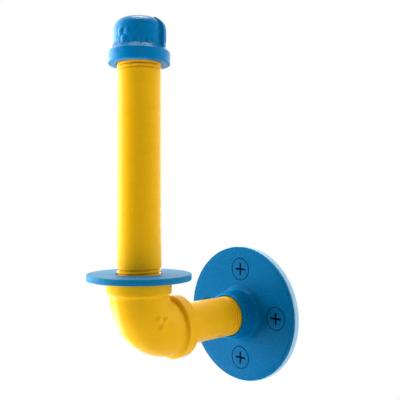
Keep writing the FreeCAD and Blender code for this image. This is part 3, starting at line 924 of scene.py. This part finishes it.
keep_selected(cap, on_rib)
bpy.ops.mesh.select_mode(type="FACE")
for share in (0.15, 0.60, 0.25):
    bpy.ops.mesh.extrude_region_move()
    bpy.ops.mesh.select_mode(type="VERT")
    mesh = bmesh.from_edit_mesh(cap.data)
    held = [v.index for v in mesh.verts if v.select]
    heights = [v.co.z - cap_mouth for v in mesh.verts if v.select]
    for row in sorted({round(height, 5) for height in heights}):
        mesh = bmesh.from_edit_mesh(cap.data)
        mesh.verts.ensure_lookup_table()
        for v in mesh.verts:
            v.select = False
        for index, height in zip(held, heights):
            mesh.verts[index].select = round(height, 5) == row
        mesh.select_flush(True)
        bmesh.update_edit_mesh(cap.data)
        bpy.ops.transform.translate(value=rib_step(row) * share)
    mesh = bmesh.from_edit_mesh(cap.data)
    mesh.verts.ensure_lookup_table()
    for index in held:
        mesh.verts[index].select = True
    mesh.select_flush(True)
    bmesh.update_edit_mesh(cap.data)
    bpy.ops.mesh.select_mode(type="FACE")
bpy.ops.object.mode_set(mode="OBJECT")
round_off = cap.modifiers.new("round_off", "SUBSURF")
round_off.levels = 2
apply_modifier(cap, round_off)
cut_thread(cap, pipe_pitch, socket_thread_depth,
           lambda radius, height: (radius < socket_radius + 0.0002
                                   and cap_mouth + 0.0008 < height < cap_mouth + cap_socket))
cap_mark = [(0.0014, -0.01242, cap_mouth + 0.0136), (0.0050, -0.01146, cap_mouth + 0.0132),
            (0.0033, -0.01205, cap_mouth + 0.0100)]
displace_by(cap, pips(cap, cap_mark, cap_pip_radius), cap_pip_height)

# The fillet above the band is left lumpy by the casting.
fillet = [max(0.0, 1 - abs(v.co.z - cap_mouth - fillet_height) / fillet_reach)
          if math.hypot(v.co.x, v.co.y) > 0.0120 else 0.0 for v in cap.data.vertices]
waves = bpy.data.textures.new("casting_waves", "CLOUDS")
waves.noise_scale = wave_size
displace_by(cap, fillet, wave_height, mid_level=0.5, texture=waves)
cap_paint = paint("cap_blue", cap_blue, roughness=0.26, grain_size=0.00050,
                  grain_strength=0.35, casting_skin=0.8, wear=0.3)
finish_faces(cap, [cap_paint, bare_iron],
             lambda place: int(math.hypot(place.x, place.y) < socket_radius + inside_margin
                               and 0.0004 < place.z - cap_mouth < 0.0190))
cap.location = (0, post_y, 0)
bpy.ops.object.transform_apply(location=True, rotation=True, scale=True)
smooth_by_angle(cap, degrees=60)
fit(cap, "cap", "cap_paint", "end_cap")

# ---------------------------------------------------------------------------------------
# STUDIO
# Plain white to the camera, with bright surroundings behind the holder, a dark patch behind
# the camera, and soft fills all round. The camera is level and looks from the front right.
# ---------------------------------------------------------------------------------------

camera_turn = math.radians(44.35)
camera_height = 0.06201
camera_aside = 0.02921             # how far right of the post it stands
camera_back = 0.29789
floor_height = -0.25
floor_size = 8
bright, dark = 2.7, 0.02           # the surroundings behind the holder and behind the camera
left_glow, top_glow = 5.0, 1.2
across = Vector((math.cos(camera_turn), math.sin(camera_turn), 0))
ahead = Vector((-math.sin(camera_turn), math.cos(camera_turn), 0))
camera_data = bpy.data.cameras.new("camera")
camera = bpy.data.objects.new("camera", camera_data)
bpy.context.scene.collection.objects.link(camera)
camera_data.sensor_width = 36
camera_data.lens = 55.79
camera_data.shift_y = 0.0093
camera_data.clip_start = 0.01
camera.location = (Vector((0, post_y, camera_height)) + across * camera_aside
                   - ahead * camera_back)
camera.rotation_euler = (math.radians(90), 0, camera_turn)
bpy.context.scene.camera = camera

make_active(None)
bpy.ops.mesh.primitive_plane_add(size=floor_size, location=(0, 0, floor_height))
floor = bpy.context.object
floor.name = "floor"
floor_paint, floor_tree, floor_shader = new_material("floor_white")
floor_shader.inputs["Base Color"].default_value = (0.55, 0.55, 0.55, 1)
floor_shader.inputs["Roughness"].default_value = 0.9
floor_seen = node(floor_tree, "ShaderNodeEmission", Color=(1, 1, 1, 1), Strength=1.0)
floor_mix = floor_tree.nodes.new("ShaderNodeMixShader")
link(floor_tree, floor_tree.nodes.new("ShaderNodeLightPath").outputs["Is Camera Ray"],
     floor_mix.inputs[0])
link(floor_tree, floor_shader.outputs["BSDF"], floor_mix.inputs[1])
link(floor_tree, floor_seen.outputs["Emission"], floor_mix.inputs[2])
link(floor_tree, floor_mix.outputs["Shader"],
     floor_tree.nodes["Material Output"].inputs["Surface"])
floor.data.materials.append(floor_paint)

# The surroundings are bright except for a wide dark patch behind the camera; the camera
# itself sees plain white.
world = bpy.data.worlds.new("studio")
world.use_nodes = True
tree = world.node_tree
background = tree.nodes["Background"]
direction = tree.nodes.new("ShaderNodeTexCoord").outputs["Generated"]
facing = tree.nodes.new("ShaderNodeVectorMath")
facing.operation = "DOT_PRODUCT"
link(tree, direction, facing.inputs[0])
facing.inputs[1].default_value = -ahead
front = node(tree, "ShaderNodeMapRange", Value=facing.outputs["Value"], From_Min=-0.32,
             From_Max=0.05, To_Min=bright, To_Max=dark)
sideways = tree.nodes.new("ShaderNodeVectorMath")
sideways.operation = "DOT_PRODUCT"
link(tree, direction, sideways.inputs[0])
sideways.inputs[1].default_value = across
side_tone = node(tree, "ShaderNodeMapRange", Value=sideways.outputs["Value"], From_Min=-1.0,
                 From_Max=1.0, To_Min=1.30, To_Max=0.85)
light = calculate(tree, "MULTIPLY", front.outputs["Result"], side_tone.outputs["Result"])
upward = node(tree, "ShaderNodeSeparateXYZ", Vector=direction).outputs["Z"]
overhead = node(tree, "ShaderNodeMapRange", Value=upward, From_Min=0.15, From_Max=0.65,
                To_Min=1.0, To_Max=0.5)
light = calculate(tree, "MULTIPLY", light, overhead.outputs["Result"])
rim_zone = node(tree, "ShaderNodeMapRange", Value=facing.outputs["Value"], From_Min=-0.30,
                From_Max=0.55, To_Min=1.0, To_Max=0.0).outputs["Result"]
leftward = calculate(tree, "MULTIPLY", sideways.outputs["Value"], -1.0)
for toward, level in ((leftward, left_glow), (upward, top_glow)):
    glow = node(tree, "ShaderNodeMapRange", Value=toward, From_Min=0.50, From_Max=0.95,
                To_Min=0.0, To_Max=level).outputs["Result"]
    light = calculate(tree, "ADD", light, calculate(tree, "MULTIPLY", glow, rim_zone))
seen = tree.nodes.new("ShaderNodeLightPath").outputs["Is Camera Ray"]
strength = calculate(tree, "MULTIPLY", light, calculate(tree, "SUBTRACT", 1.0, seen))
link(tree, calculate(tree, "ADD", strength, seen), background.inputs["Strength"])
background.inputs["Color"].default_value = (1, 1, 1, 1)
bpy.context.scene.world = world


def softbox(name, place, aim, width, height, power):
    """A rectangular area light at a place, facing a point."""
    data = bpy.data.lights.new(name, "AREA")
    data.shape = "RECTANGLE"
    data.size = width
    data.size_y = height
    data.energy = power
    made = bpy.data.objects.new(name, data)
    made.location = place
    made.rotation_mode = "QUATERNION"
    made.rotation_quaternion = (Vector(aim) - Vector(place)).to_track_quat("-Z", "Y")
    bpy.context.scene.collection.objects.link(made)
    return made


middle = Vector((0.0, -0.05, 0.06))

# The fills are cross-polarised, so they give no reflections: name, way from the middle, rise,
# power. The top light is the opposite and gives only reflections.
fills = (("left_fill", -0.87 * across + 0.10 * ahead, -0.05, 7.4),
         ("right_fill", 0.87 * across - 0.06 * ahead, 0.15, 3.1),
         ("front_fill", 0.20 * across - 0.80 * ahead, 0.45, 1.7),
         ("under_fill", -0.12 * across - 0.12 * ahead, -0.28, 0.42))
for name, way, rise, power in fills:
    fill = softbox(name, middle + way + Vector((0, 0, rise)), middle,
                   width=0.7, height=0.8, power=power)
    fill.visible_glossy = False
top_light = softbox("top_light", middle + 0.06 * ahead + Vector((0, 0, 0.75)), middle,
                    width=0.4, height=0.4, power=10.0)
top_light.visible_diffuse = False
low_rim = softbox("low_rim", middle - 0.36 * across + 0.16 * ahead - Vector((0, 0, 0.28)),
                  middle - Vector((0, 0, 0.06)), width=0.35, height=0.25, power=2.8)
low_rim.visible_camera = False
bpy.context.scene.view_settings.view_transform = "Standard"
